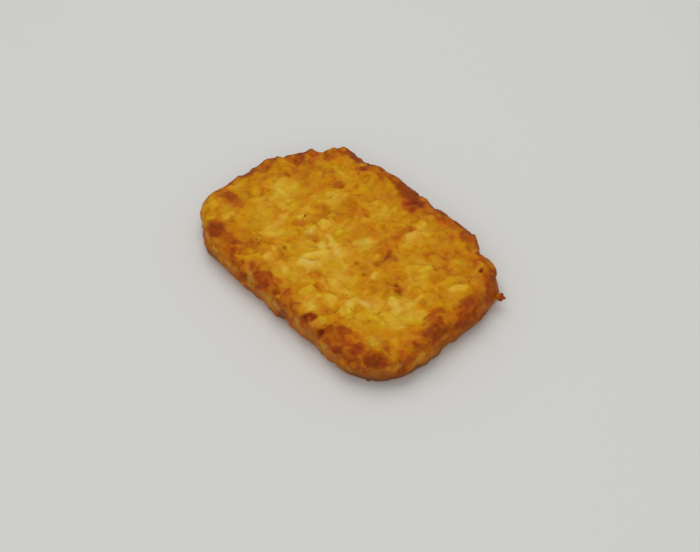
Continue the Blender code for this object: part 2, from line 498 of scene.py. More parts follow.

# %% [markdown]
# ## What the pan did where
# Some browned places, pits and pale pieces are as particular to this patty as freckles. A rule can't find
# them, so they are read off and kept as lists of real sizes. Each entry is an oval: its middle, its
# length and width, its strength and, where it has one, its turn. The frying around them follows a rule and
# is left to noise.
# - Browned places were pressed hardest to the hot pan. Spared ones stayed lighter than the rule says.
# - Tan bits are potato that shows through on the side, partly a painted sheen there, and the dull foot is
#   painted shade where the foot curves under.
# - A pale area is where the crust stayed light, over several pieces. A pale piece is one lump of potato.
# A place on the side can't be read from above. So each is read where the camera sees it, as if all of it
# lay at the height of the top face, and is put back on the skin along the line of sight.

# %% Places read off, in millimetres and degrees
BROWNED_PLACES = (
    # the far side, from left to right
    (-41.3, 15.5, 6, 2.6, 0.7, 60), (-39.2, 14.2, 3, 2.4, 0.9), (-38.3, 12.4, 5, 4, 0.7, -20),
    (-40.5, 10.5, 6, 2.4, 0.5, 10), (-38.5, 18, 6, 3, 0.6, 30), (-33, 21, 4, 3.6, 0.55),
    (-31, 25.6, 4, 3, 0.55), (-29.5, 28, 4, 2, 0.8), (-27, 26.9, 5, 2.6, 1, -5),
    (-20.3, 25.7, 3.4, 3.4, 0.8), (-21.8, 24.4, 3.4, 2.6, 0.6), (-21, 28.6, 3.4, 1.6, 0.9, -20),
    (-18, 27.4, 4.4, 3.2, 0.5, 20), (-14, 28.4, 4, 3, 0.55), (-11, 29.6, 7, 2.4, 0.6),
    (-5, 29.4, 7, 3.2, 0.9, 5), (-0.5, 28.4, 10, 5, 1, -6), (5, 27.1, 4.6, 4.6, 1, -20),
    (3.4, 24.4, 6, 3.4, 0.7, 10), (-1.5, 25.6, 6, 2.6, 0.45, -15), (13, 28.8, 6, 4.6, 0.6, -15),
    (18.2, 28.6, 6, 3.2, 0.6, -10), (25.6, 28.6, 6, 3.6, 0.8, -25), (29.6, 27, 6, 4, 0.6, -55),
    (38.2, 25, 8, 2.8, 0.45, -15), (43.8, 22.6, 6, 3, 0.9, -45), (35.5, 22, 6, 4, 0.3, -30),
    (24.5, 19.5, 8, 12, 0.12), (38, 23.6, 6, 4, 0.35), (41.5, 16.5, 6, 9, 0.3), (-33.5, 17.5, 7, 9, 0.3),
    # the short side on the right
    (47.2, 18.4, 13, 4.4, 0.85, -52), (49.6, 14, 3.4, 6, 0.8), (46.2, 12.6, 3.6, 5, 0.45),
    (47.4, 8.8, 6.6, 6, 0.85), (51.6, 5, 3.6, 16, 0.85), (46.4, 4.8, 5, 3.6, 0.5), (49.4, 4.6, 3, 5, 0.6),
    (50.6, 1, 3, 4, 0.9), (47, 1.4, 5.6, 4.4, 0.3), (42.8, -3.6, 2.4, 5, 0.45), (43, -0.4, 3, 3.4, 0.6),
    (47.8, -6.4, 10.5, 5.6, 1, -60), (49.4, -4.6, 3.6, 5, 0.7), (51.4, -8, 3.6, 18, 0.62),
    (48.6, -12.4, 4.6, 3.6, 0.6), (47, -15.6, 4.4, 4, 0.4), (49.2, -15, 4, 3, 0.5, -35),
    (48, -19.8, 5, 4, 0.55), (51, -21, 3.6, 7, 0.8, 10), (48.4, -23.4, 4, 3, 0.4, -40),
    (53, -26, 3, 6, 0.9, 20), (53.6, 0, 3, 40, 0.5), (51, -30, 12, 12, 0.45), (45, -35, 14, 6, 0.4, 15),
    # the near side, from right to left
    (43.6, -21.8, 3.6, 2, 0.7, -45), (45, -26.8, 5.4, 4.8, 1, 25), (43.6, -28.6, 5.4, 3.4, 0.8, 15),
    (42.6, -29, 4.4, 2.2, 1, 10), (41, -27, 3.4, 3.4, 0.5), (44.2, -32, 5, 2.2, 0.7, 25),
    (37.2, -28.4, 4.2, 4.4, 0.9), (37.6, -31.6, 5, 3.6, 0.75), (33.2, -32.6, 4.4, 3.6, 1),
    (33.2, -29.2, 5, 3.6, 0.5), (29, -26.2, 5.4, 3.2, 0.8), (29.6, -29.6, 4.6, 4, 0.6),
    (28.8, -32.6, 4, 3, 0.6), (25.4, -31.6, 3.2, 6.2, 1, -8), (26.2, -28.8, 3.2, 2.8, 0.85),
    (18, -31.2, 3.6, 6.4, 1, -8), (11, -31, 4.4, 3.8, 0.65), (9, -33, 1.8, 2.2, 0.9, -20),
    (11.3, -36, 4.6, 3.2, 1, -10), (7, -31, 4, 2.6, 0.35), (5.2, -29.2, 4.4, 3.2, 0.5, -20),
    (2.8, -32.2, 2.8, 2.8, 0.8), (0.8, -31, 5.4, 3, 0.5), (-0.8, -28.8, 4.4, 3.2, 0.5),
    (-4.6, -29.6, 5.4, 3.6, 0.8), (-6.4, -31.4, 5.4, 3.4, 0.8, -20), (-4.2, -33.8, 5, 5, 0.4),
    (-2.6, -32, 4.8, 3.8, 0.75), (-3, -34.9, 2, 2.2, 0.95), (-9.2, -35.4, 5, 3.6, 0.95, -10),
    (-11.8, -32, 7, 6, 0.45, -20), (-17.4, -32.5, 5.4, 2.2, 0.85, -30), (-20, -30.6, 4, 2.4, 0.8, -30),
    (-22.6, -27.4, 3.6, 2.8, 0.6, 20), (-25.8, -27.8, 8, 4.2, 0.4, -5), (-32.2, -28.2, 7, 6.2, 0.95, -15),
    (-30.6, -30.4, 3.4, 2.4, 1, -20), (-25, -25, 16, 6, 0.24), (-11, -30, 22, 8, 0.24),
    (36, -30.5, 26, 8, 0.28),
    # the short side on the left
    (-40.6, -15.7, 7.4, 3.6, 0.75, -12), (-44.2, -18, 3.4, 4, 0.4), (-45.4, -4.6, 3.4, 4.6, 0.7),
    (-45.4, -1.6, 2.8, 3, 0.6), (-44.8, 3, 3.2, 3.8, 0.45), (-43.6, 1.4, 4.2, 5, 0.35),
    (-36, -15.4, 5, 2.4, 0.3, -25),
    # fainter ones, all over the patty
    (5.8, -18.2, 4.4, 4, 0.5, 30), (24, -3, 11, 5, 0.35, -25), (14, 3.5, 6, 9, 0.4, 35),
    (-9, 12, 14, 6, 0.15, -35), (25, -6.5, 11, 6, 0.2), (13, -5.5, 8, 5, 0.3), (0, 0.5, 4, 5, 0.25),
    (-27, 15.5, 8, 6, 0.25), (-34, 11.5, 6, 9, 0.3, 20), (-18, -24.4, 10, 4.6, 0.35),
    (6.4, 26.6, 9, 8, 0.55), (24.5, 1.2, 6, 4, 0.4), (-39.5, -7.5, 9, 14, 0.26), (10.5, -20.2, 8, 2.6, 0.4),
    (-24.5, 17, 5, 4, 0.3), (-29.5, 6.2, 6, 4, 0.25), (20, -24.5, 6, 8, 0.12), (-16, -7.2, 4, 5, 0.22, 20),
    (-7.4, -8.6, 3.4, 1.8, 0.45, 30), (17.4, 4.6, 2.4, 3, 0.5), (-4.4, 10, 6, 2, 0.2, 50),
    (10.4, 7.5, 4, 5, 0.2, 30), (-34.4, -5.8, 5, 3.4, 0.35), (-36.5, 7.5, 4, 5, 0.3, 20),
    (27, 14, 10, 5, 0.38), (21, 23, 7, 6, 0.25), (11.5, 20, 4, 12, 0.25), (37.5, 17.5, 8, 5, 0.25),
    (44.5, 12.5, 5, 4, 0.25), (19, 9.5, 6, 6, 0.2), (1.5, 6.5, 8, 7, 0.25), (0, -3, 4, 9, 0.3),
    (-16, 2.5, 10, 5, 0.3, -10), (-7.5, 5.5, 6, 4, 0.22), (-40.5, 2, 7, 7, 0.3), (-26, 17, 4, 6, 0.22, 20),
    (-14, 18, 4, 4, 0.25), (-35, 25.5, 6, 5, 0.3), (3, 22, 4, 3, 0.22), (-37, -13, 9, 6, 0.25),
    (-46.5, -7, 4, 9, 0.3), (-7.5, -19.5, 8, 4, 0.28, -15), (-10.5, -28.5, 6, 5, 0.4),
    (27.4, -1.4, 4, 8, 0.4, 20), (37, -3, 4, 5, 0.3), (43.5, 2, 5, 3, 0.22), (47, -8, 6, 7, 0.3),
    (24, -25, 12, 5, 0.25), (26.5, -32, 4, 5, 0.35), (34.5, -33, 5, 4, 0.3), (43, -21, 6, 4, 0.28),
    (44.5, -30, 7, 4, 0.28), (38, -25, 5, 3, 0.4), (18.5, -32, 4, 4, 0.25), (11, -21.5, 8, 3, 0.2),
    (-20.6, 14.4, 4.4, 4.8, 0.55), (46.8, -8, 4.6, 8, 0.35, -10), (45, 1, 5, 3, 0.3),
    (44.6, -24.6, 6, 3.6, 0.35, 20), (48.6, -30, 4, 4, 0.4), (-9, 27.4, 10, 4, 0.3),
    (9.5, 28.5, 6, 6, 0.25), (10, 4.5, 2.6, 12, 0.2), (42.5, 21.5, 6, 4, 0.5, -30),
    (-30, 8, 8, 4, 0.2, -30), (-26, -30.2, 9, 4.6, 0.35, -15), (-33, -29, 8, 6, 0.35, -20),
    (-40, -17.5, 9, 4, 0.25), (39.6, 21.3, 1.2, 1.2, 0.9), (-9.8, -17.6, 1.5, 1.2, 0.4),
    (28.4, -3.8, 2, 2.2, 0.3), (-38.5, 15, 8, 12, 0.28), (-38, 7, 9, 5, 0.08), (-34, 24, 8, 8, 0.3),
    (11.4, 14.6, 4, 10, 0.45), (33, 15, 8, 6, 0.2), (43, -5, 2.4, 5, 0.45, 10), (-13.4, -4.8, 3.4, 4, 0.4),
    (-18, -28, 4, 5, 0.25), (42, -20.4, 5, 3, 0.25), (38, 14, 4, 4, 0.25), (33, -25.2, 5, 3, 0.35),
    (-46.6, -7, 3, 5, 0.4), (20, -9.4, 4, 4, 0.3), (11.5, 22.6, 5, 4, 0.2), (21, 24, 8, 5, 0.2),
    (-11, 9, 5, 12, 0.18, 20), (-3, 13, 3, 5, 0.2), (9, -24, 6, 3, 0.2), (45.6, -17.2, 5, 3, 0.25),
    (-19, 28.2, 6, 3, 0.25), (-29, 25.4, 6, 4, 0.2),
)
SPARED_PLACES = (
    (-41.5, -26, 16, 8, 0.7, -38), (-44.5, -13, 5, 18, 0.25), (-24.5, -33.4, 14, 4.4, 0.45, -14),
    (4, -36, 9, 3, 0.4), (53, -14, 4, 12, 0.4),
)
# pale potato on the side, partly a painted sheen
TAN_PLACES = (
    (-31.5, -32.4, 7, 1.8, 0.6, -38), (-25.3, -33.8, 3.4, 1.8, 0.6, -10), (-21.5, -34.6, 5, 1.4, 0.4),
    (-17, -35.4, 4.4, 1.4, 0.5), (-13.8, -35.2, 1.8, 1.3, 0.8), (-10.6, -32.8, 4, 1, 0.6, -45),
    (-8.9, -31.4, 1.4, 2.4, 0.7, 25), (-7.3, -33.6, 3.6, 1.8, 1, -35), (-5.4, -35.4, 3.6, 1.4, 0.9, -40),
    (1, -35.2, 6.4, 1.6, 1), (7.2, -35.2, 4.4, 1.8, 0.8, -10), (4.8, -32.5, 2, 1.4, 0.2),
    (16.5, -34.8, 4.6, 1.4, 0.9, -35), (21.5, -30.6, 3.2, 4.4, 0.5, -8), (21.6, -34.8, 3.6, 1.8, 0.5),
    (29.6, -35, 2.8, 3, 0.7), (34, -35.3, 5, 1.4, 0.6), (41, -35.4, 4, 1.8, 0.5),
    (13, -35.6, 50, 2.4, 0.35), (38.5, -22, 5, 5, 0.3), (5.4, 1.6, 3.4, 5, 0.35), (-10, -7.6, 2.4, 3, 0.35),
    (48.4, -27, 3.4, 1.8, 0.6, 45), (46, -31.5, 14, 4, 0.3, 35), (50.6, -24, 1.6, 4, 0.5),
    (52.4, -17, 1.6, 5, 0.5, 20),
)
# stretches of painted shade along the foot, where it curves under
FOOT_SHADE_PLACES = (
    (-46.6, -14, 2, 18, 0.6), (-44.4, -23.4, 9, 2, 0.8, -55), (-39.2, -29, 9, 2, 0.9, -40),
    (-31, -33.7, 13, 2.6, 1, -33), (-23, -35.7, 9, 2.4, 0.9), (-15, -36.3, 8, 1.4, 0.5),
    (-4.5, -36.2, 4, 1.8, 0.8), (0, -36.6, 8, 1.2, 0.25), (11.2, -36.2, 5, 2.6, 0.9),
    (25.5, -35.6, 4, 2, 0.6), (43, -35.2, 11, 3, 0.85, 17), (50, -30.6, 15, 4, 1, 52),
    (54, -19, 4, 20, 1, 5), (54.5, -4, 3.6, 20, 0.8), (53.5, 9, 3, 14, 0.6, 8),
)
PITS = (
    (-20.4, 14.6, 3.4, 3.6, 0.3, 20), (15.4, 4.5, 2.2, 2.6, 1, 10), (15.8, 2, 1, 2.6, 0.5, 15),
    (15, -0.4, 2.4, 2, 0.55, 30), (25.8, -2.1, 1.7, 1.4, 0.7), (29.2, -4.1, 2.2, 2.4, 0.9, 20),
    (29.3, 21.8, 2.4, 1.8, 0.45), (30, 10.8, 1.6, 1.4, 0.45), (-36.8, 5.3, 3.6, 1.5, 0.7, -8),
    (-27, 17.2, 2, 2.4, 0.45), (-13.8, 3.6, 5, 2.4, 0.45, -25), (-8.6, -7.9, 3.4, 1, 0.5, 40),
    (-6, -7.1, 3, 1, 0.5, -12), (10.2, -5.2, 1.6, 1, 0.5), (-9.8, -17.6, 1.5, 1.2, 0.8),
    (-8, -20.8, 1.4, 4, 0.5, 8), (31, -13.6, 1.2, 1.6, 0.55), (36.6, -1.4, 1.6, 2.6, 0.5),
    (39, 5, 2, 1.6, 0.4), (21.4, -23.4, 1.4, 1.2, 0.6), (-32.6, -22, 1.6, 2.4, 0.55, 20),
    (-38.5, -9.5, 2.6, 1.8, 0.45), (-4.3, -10.4, 1.2, 0.9, 0.5), (17, -31, 1.4, 3, 0.5),
    (18.2, -28.6, 1.8, 1.8, 0.5), (24.6, -32.4, 1.8, 2.2, 0.5), (-14.6, -31.6, 1.6, 1.2, 0.7),
    (39.6, 21.3, 1.2, 1.2, 1), (47, -14, 1.2, 1, 0.6), (-18.7, -22.1, 1.3, 1.1, 1),
    (2.6, 26.4, 2.4, 3.6, 0.4), (5.6, 27.2, 3, 2, 0.45, -25), (46.8, -7.6, 2, 3, 0.3),
    (43.4, -28.6, 4, 2.4, 0.4, 10),
)
PALE_AREAS = (
    (-32, 2.5, 6.5, 5.5, 0.8, 20), (-30.5, -3, 7, 5, 0.45, -20), (-17, 9.5, 7.5, 6, 0.8, 40),
    (-19.5, 5, 5.5, 4.5, 0.65), (-20.5, 18.6, 7, 3.2, 0.6, 5), (-29.5, -10.5, 7, 4.5, 0.3, -30),
    (-20.8, -11, 4, 7.5, 0.65, 10), (-18.6, -17, 4.2, 6.5, 0.7, 5), (-8.8, -2.6, 5, 8, 0.62, -10),
    (-2.6, 3.2, 3.4, 4.6, 0.55), (-0.5, 15.6, 7, 8, 0.7), (45.6, 3.6, 5, 8, 0.7), (4, -21.5, 5, 7, 0.6),
    (16, -15.5, 8, 7, 0.6), (28.5, 2, 7, 7, 0.5), (-17.5, -15, 8, 9, 0.5), (25, -14.5, 8, 6, 0.4),
    (16, 19, 6, 8, 0.4), (5.8, 2.2, 4.6, 7.5, 0.9, -15), (13.8, 20.8, 4.2, 6, 0.65),
    (15.4, 11.2, 4.6, 4.2, 0.6), (26, 9.2, 7.5, 4.6, 0.75, -10), (29, 4.8, 5.5, 5.5, 0.7),
    (1, -15.4, 6.5, 9, 0.9, -30), (1.6, -7.4, 9.5, 6.5, 0.8, 10), (-4.6, -22.6, 6.5, 3.8, 0.8, -20),
    (-11.4, -24.2, 7.5, 3.6, 0.75, 12), (12.2, -12.2, 8, 6, 0.65, -10), (17.2, -21.6, 4.6, 4.2, 0.75),
    (9.8, -23.8, 5, 4, 0.6), (13.8, -27.6, 6, 3.6, 0.7, 20), (22.2, -15.6, 4.2, 4, 0.8),
    (27.6, -14.2, 4.6, 3, 0.75, 20), (33, -7.2, 6.5, 5.4, 0.8, 20), (38, -12.2, 8, 6, 0.75, -10),
    (39.4, -6.4, 5, 5.8, 0.75), (42.5, -18.6, 5.6, 2.2, 0.5, -45), (-43.8, -11.2, 3, 3.4, 0.6, -30),
    (21.6, 22.6, 3.2, 3, 0.5), (32, 17.8, 4.2, 5, 0.45), (-32.8, 24.8, 3, 2.2, 0.4),
    # fainter ones
    (0, -11, 16, 18, 0.3), (33, -10, 14, 14, 0.3), (12, -20, 16, 10, 0.25), (4, -14, 6, 14, 0.35),
    (-20, -3, 7, 6, 0.4), (-28, -8, 6, 6, 0.4), (-9.5, -13, 7, 4, 0.35), (0.5, -19, 4, 7, 0.4),
    (2, -23, 5, 4, 0.3), (-4.5, -27, 5, 6, 0.25), (-15, -26, 6, 3, 0.3), (7, -2, 5, 8, 0.3),
    (0, 16, 5, 6, 0.4), (-17, 22.5, 6, 4, 0.6), (-19, 16.5, 5, 5, 0.35), (30.5, 1.5, 4, 8, 0.5, 20),
    (39, 8, 5, 6, 0.35), (-27.5, -9, 5, 4, 0.3), (14, 5.5, 3, 4, 0.3), (34, 24, 3, 5, 0.3, 20),
    (-8, -5.4, 3, 3, 0.35), (-12.4, -28, 4, 4, 0.35), (-22.4, -32.4, 5, 3, 0.6, -20),
    (16, -29.4, 2.4, 3, 0.5), (22.2, -30.8, 3, 4, 0.4), (25, -13.8, 4.4, 5, 0.5), (-16, -5, 4, 6, 0.25),
    (-29.5, -1, 7, 5, 0.2),
)
PALE_PIECES = (
    (-17.2, -4.9, 2.6, 3.4, 1, -20), (-9.9, -7.6, 2.4, 4.4, 1.1, -30), (-19.4, 9.8, 3, 2, 0.5, 30),
    (-1.2, 17, 2.6, 5.4, 0.75, 30), (14.2, 16.2, 3, 5, 0.8), (26.2, 14.6, 3.2, 3, 0.35),
    (40.3, 11, 7.6, 2.6, 0.85, 56), (2, -15.6, 4, 6.4, 0.9, -30), (6.4, 4.2, 3.6, 4.6, 0.7, -15),
    (13.6, 1.2, 1.8, 4.4, 0.6, 20), (4.6, 1, 3.4, 2.8, 0.7, 20), (1.4, -15.8, 3.4, 4.6, 1.2, -35),
    (-6.2, -9.8, 3.6, 1.8, 0.5, -20), (31, -8, 3.8, 3.4, 0.7, 20), (23.8, -20, 7.6, 2.8, 0.9, -50),
    (22.3, -15.8, 3.4, 3, 0.7), (25.6, -14.2, 4.4, 3.4, 1.1), (18.8, -4.4, 2.6, 4.4, 0.75, 20),
    (-28.3, 12.8, 1.8, 5, 0.7, 20), (-27.2, 19.3, 1.2, 1.2, 0.7), (-34.8, -21.6, 3, 4, 0.7, -20),
    (-33.2, -5.6, 1.4, 5, 0.6, 50), (-38, 7.2, 3, 2, 0.8, -10), (-12.4, -20.2, 3.6, 1.8, 0.7, -20),
    (-2.2, -23.4, 1.8, 3.6, 0.8, 40), (17.6, -21.4, 3, 5, 0.6, 20), (12.4, -12.4, 4.4, 3.4, 0.5),
    (35, -16.6, 2.4, 1.8, 0.6, 20), (35.4, -1.4, 2.2, 3.4, 0.7, 10), (27.8, 9.6, 3.4, 3, 0.6),
    (1, 20.6, 3.4, 1.2, 0.6, -35), (37.6, -21.8, 3.6, 2.2, 0.5, -10), (43.4, -18.8, 4.6, 1.4, 0.7, -42),
    (5, -22.6, 2.8, 2.4, 0.5), (21.6, -30, 3.4, 5, 0.35, -8), (-45, -13.2, 2, 2.6, 0.6),
    (3.4, 30.2, 4.6, 1.8, 0.5, -10), (-22.4, 27.2, 3, 1.4, 0.5, -20),
    # bits along the near rims and on the side below them
    (-31, -32.6, 5, 1.6, 0.45, -35), (-25.5, -33.7, 3.2, 1.6, 0.6, -10), (-16.2, -35.2, 4.6, 1.8, 0.3),
    (-13.8, -35.2, 1.6, 1.4, 0.7, 40), (-7.2, -33.6, 4.2, 1.6, 0.9, -35), (-5.4, -35.4, 2.6, 1.4, 0.7, -40),
    (1.2, -35.2, 5.4, 1.6, 0.8, 4), (7.2, -35.2, 3.6, 1.6, 0.5, -10), (4.6, -32.6, 2, 1.4, 0.3),
    (-8.9, -31.2, 1.3, 1.8, 0.6, 25), (12.6, -34.3, 2.6, 1.1, 0.36, -20),
    (14.5, -27.2, 3.8, 1.8, 0.48, -40), (15.6, -28.4, 1.1, 3.6, 0.9, -12),
    (16.8, -35.2, 3.6, 1.1, 0.7, -38), (19.6, -35.8, 2.6, 1.6, 0.3), (29.6, -35, 2.6, 2.4, 0.5),
    (33.2, -35, 2.8, 1.5, 0.36, 10), (37.4, -35, 2.4, 1.4, 0.3), (41, -35.2, 2.6, 1.9, 0.36),
    (40.6, -33, 2.2, 1.8, 0.3), (48.4, -27, 3, 1.6, 0.4, 45), (46.9, -23.2, 1.6, 1.4, 0.42),
    (50.2, -24.6, 1.2, 3.2, 0.36), (51.9, -6.6, 1.6, 3.2, 0.36), (51.8, -9.4, 1.4, 2.6, 0.42),
    (52.4, -1.8, 1.2, 3, 0.3), (52.2, -16.8, 2.6, 4.2, 0.48, 30), (52, 5, 1.2, 1.8, 0.3),
)
print("places read off:", [len(p) for p in (BROWNED_PLACES, PITS, PALE_AREAS, PALE_PIECES)])

# %% [markdown]
# ## Stamping the places into the skin
# A place could be painted in the material with a chain of nodes each, which is slow and hard to read. A
# number stored on each point of the skin does the same in a few lines. Each point is slid along its line
# of sight to the height at which the places were read, and bent a little by noise, so that no oval looks
# drawn. Then every oval is stamped onto it, soft at its edge.

# %% Stamps
CRISP, SOFT = 0.45, 0.4  # how far an oval's soft edge reaches in and out, as a share of its size
WARPS = ((6.0 * MM, 0.7 * MM), (2.2 * MM, 0.7 * MM))
WARP_SHIFTS = (11.0, 23.0)
READING_HEIGHT = 11.3 * MM


def smoothstep(values, low, high):
    """0 below low, 1 above high, and smooth between."""
    share = np.clip((values - low) / (high - low), 0.0, 1.0)
    return share * share * (3.0 - 2.0 * share)


def noise_field(points, size, shift):
    """Smooth noise from -1 to 1 at each point, with blotches of this size."""
    offset = Vector((shift, shift, shift))
    return np.array([noise.noise(Vector(point) / size + offset) for point in points])


def slid_to_top(points):
    """Each point slid along its line of sight to the plane on which the places were read."""
    eye = np.array(camera.location)
    share = (READING_HEIGHT - eye[2]) / (points[:, 2] - eye[2])
    return eye + (points - eye) * share[:, None]


def warped(points):
    """The points moved sideways by noise, so that what is stamped on them gets an uneven edge."""
    moved = points.copy()
    for size, reach in WARPS:
        for axis, shift in enumerate(WARP_SHIFTS):
            moved[:, axis] += reach * noise_field(points, size, shift)
    return moved


def whole(places):
    """The ovals with a turn of 0 where none is given."""
    return [(*place, 0)[:6] for place in places]


def stamp(points, places, softness=CRISP):
    """How far each point is inside the ovals. Where ovals overlap they build up, but never past 1."""
    missed = np.ones(len(points))
    for x, y, length, width, strength, turn in whole(places):
        cosine, sine = math.cos(math.radians(turn)), math.sin(math.radians(turn))
        right, up = points[:, 0] - x * MM, points[:, 1] - y * MM
        along = (right * cosine + up * sine) / (0.5 * length * MM)
        across = (up * cosine - right * sine) / (0.5 * width * MM)
        inside = 1.0 - smoothstep(np.hypot(along, across), 1.0 - softness, 1.0 + softness)
        missed *= 1.0 - strength * inside
    return 1.0 - missed


def store(mesh, name, values):
    """Keeps one number a point under this name."""
    mesh.attributes.new(name, "FLOAT", "POINT").data.foreach_set("value", values.astype(np.float32))


print("reading plane below the top, mm:", round((slab_high.z - READING_HEIGHT) / MM, 2))

# %% [markdown]
# ## What frying did to each point, and where shade is painted
# The named places count only where the camera could see them. The rest follows a rule, because painting
# it by hand would never look like frying: the rim is browner than the middle, the side a little browner
# still, in patches, and the parts of the underside that touched the pan have marks of their own. Shade is
# painted on too: the foot is a dull dark brown, the rim that turns away from the camera is browner and
# duller, and the far side is a little browner.

# %% Marks on the skin
WIDEST_SHARE = 0.42  # the slab is widest at this share of its height, and a band there is its outline
WIDEST_BAND = 0.5 * MM
UNDERSIDE = -0.5  # a point whose normal rises less than this belongs to the underside

# Noises, as the size of their patches, a shift, and the values at which a patch starts and is full
BROWN_PATCHES = (6.0 * MM, 5.0, -0.4, 0.4)
TAN_PATCHES = (3.6 * MM, 61.0, -0.35, 0.35)
PAN_PATCHES = (11.0 * MM, 40.0, -0.2, 0.5)
FLICKER = (1.8 * MM, 77.0)  # this one has no patches and is used as it is

# Ranges, from where something starts to where it is full
SEEN = (-0.1, 0.15)
FOOT_SHADE_SEEN = (-0.5, 0.05)
TURNED_AWAY = (0.10, 0.32)
UPPER_HALF = (0.5, 0.7)
LEVEL_GROUND = (0.70, 0.90)
RIM_WIDTH = (2.5 * MM, 6.5 * MM)
UNDER_RIM_WIDTH = (2.0 * MM, 6.0 * MM)
FOOT_TOP = (0.26, 0.58)
FAR_SIDE = (4.0 * MM, 28.0 * MM)

# How strong each thing is. Of two numbers the second is what the patches add.
RIM_BROWNING = (0.22, 0.2)
SIDE_BROWNING = (0.50, 0.16)
# painted shade: the upper rim that turns away from the camera is browned
AWAY_SHADE_BROWNING = 0.8
# painted shade: a little browner towards the far side, in place of light falling off there
FAR_SIDE_SHADE_BROWNING = 0.18
PAN_BROWNING = 0.7
FLICKER_BROWNING = 0.18
SIDE_TAN = 0.03
NAMED_TAN = (0.42, 0.18)
# painted shade at the foot
FOOT_SHADE_DULLNESS = (0.1, 0.82)
SPARED_DULLNESS = 0.6
PATCHY_DULLNESS = (0.75, 0.25)
# painted shade: the upper rim that turns away from the camera is dulled
AWAY_SHADE_DULLNESS = 0.24


def patchy(points, size, shift, low, high):
    """Patches of noise from 0 to 1."""
    return smoothstep(noise_field(points, size, shift), low, high)


def raised(patches, plain, more):
    """A plain amount with more of it where the patches are."""
    return plain + more * patches


def rim_inset(points):
    """How far in from the widest outline each point lies, seen from above."""
    widest = np.abs(points[:, 2] - WIDEST_SHARE * slab_high.z) < WIDEST_BAND
    outline = points[widest][:, :2]
    tree = KDTree(len(outline))
    for index, (x, y) in enumerate(outline):
        tree.insert((x, y, 0.0), index)
    tree.balance()
    return np.array([tree.find((x, y, 0.0))[2] for x, y, _ in points])


def mark_skin(mesh):
    """Stores what frying did to each point, how browned, pitted, pale and tan it is, and the shade painted
    on it.
    """
    points, normals = read_vectors(mesh, "co"), read_vectors(mesh, "normal")
    to_eye = np.array(camera.location) - points
    to_eye /= np.linalg.norm(to_eye, axis=1)[:, None]
    facing = (normals * to_eye).sum(axis=1)
    seen = smoothstep(facing, *SEEN)
    bent = warped(slid_to_top(points))
    inset = rim_inset(points)
    level = points[:, 2] / slab_high.z
    patches, tan_patches = patchy(points, *BROWN_PATCHES), patchy(points, *TAN_PATCHES)
    rim = 1.0 - smoothstep(inset, *RIM_WIDTH)
    side = 1.0 - smoothstep(np.abs(normals[:, 2]), *LEVEL_GROUND)
    # the upper rim turned away from the camera, which gets painted shade below
    away = smoothstep(-(normals[:, :2] * to_eye[:, :2]).sum(axis=1), *TURNED_AWAY)
    away *= smoothstep(level, *UPPER_HALF)
    spared = stamp(bent, SPARED_PLACES) * seen

    browned = rim * raised(patches, *RIM_BROWNING)
    browned = np.maximum(browned, side * raised(patches, *SIDE_BROWNING))
    # painted shade: browner where the rim turns away from the camera
    browned = np.maximum(browned, AWAY_SHADE_BROWNING * away) * (1.0 - spared)
    # painted shade: a little browner towards the far side
    browned = np.maximum(browned, FAR_SIDE_SHADE_BROWNING * smoothstep(points[:, 1], *FAR_SIDE))
    browned = np.maximum(browned, stamp(bent, BROWNED_PLACES, SOFT) * seen)
    underneath = normals[:, 2] < UNDERSIDE
    browned = np.maximum(browned, PAN_BROWNING * patchy(points, *PAN_PATCHES) * underneath)
    store(mesh, "browned", browned * (1.0 + FLICKER_BROWNING * noise_field(points, *FLICKER)))
    store(mesh, "pit", stamp(bent, PITS) * seen)
    store(mesh, "pale_area", stamp(bent, PALE_AREAS) * seen)

    # tan: partly pale potato on the side, partly a painted sheen
    tan = stamp(bent, TAN_PLACES) * seen * raised(tan_patches, *NAMED_TAN)
    store(mesh, "tan", np.maximum(SIDE_TAN * side, tan))

    # painted shade: a dull dark brown on the low side and under the rim, strongest in the listed stretches
    under_rim = (normals[:, 2] < 0.0) * (1.0 - smoothstep(inset, *UNDER_RIM_WIDTH))
    foot = np.maximum(side, under_rim) * (1.0 - smoothstep(level, *FOOT_TOP))
    painted_foot_shade = stamp(bent, FOOT_SHADE_PLACES, SOFT) * smoothstep(facing, *FOOT_SHADE_SEEN)
    dull = foot * raised(painted_foot_shade, *FOOT_SHADE_DULLNESS) * (1.0 - SPARED_DULLNESS * spared)
    dull *= raised(tan_patches, *PATCHY_DULLNESS)
    # painted shade: duller too where the rim turns away from the camera
    store(mesh, "dull", np.maximum(dull, AWAY_SHADE_DULLNESS * away))


mark_skin(skin.data)
print("points marked:", len(skin.data.vertices))

# %% [markdown]
# ## The named pale pieces as points
# Each pale piece of the list becomes one point on the skin, found by a ray from the camera through the
# place that was read off. It carries its length, width, turn, paleness and the way the skin faces there.
# The node tree below then lays a real lump of potato on each, among the scattered ones.


# %% Named pieces
def make_named_pieces(skin_mesh):
    """A cloud of points, one for each pale piece, that lie on the skin."""
    corners = [tuple(point) for point in read_vectors(skin_mesh, "co")]
    surface = BVHTree.FromPolygons(corners, [tuple(face.vertices) for face in skin_mesh.polygons])
    spots = []
    ups = []
    for x, y, *_ in PALE_PIECES:
        sight = Vector((x * MM, y * MM, READING_HEIGHT)) - camera.location
        spot, up, *_ = surface.ray_cast(camera.location, sight)
        spots.append(tuple(spot))
        ups.append(tuple(up))
    mesh = bpy.data.meshes.new("named_pieces")
    mesh.from_pydata(spots, [], [])
    length, width, paleness, turn = np.array(whole(PALE_PIECES)).T[2:]
    store(mesh, "length", length * MM)
    store(mesh, "width", width * MM)
    store(mesh, "turn", np.radians(turn))
    store(mesh, "paleness", paleness)
    up_values = mesh.attributes.new("up", "FLOAT_VECTOR", "POINT").data
    up_values.foreach_set("vector", np.array(ups, np.float32).ravel())
    return link("named_pieces", mesh)


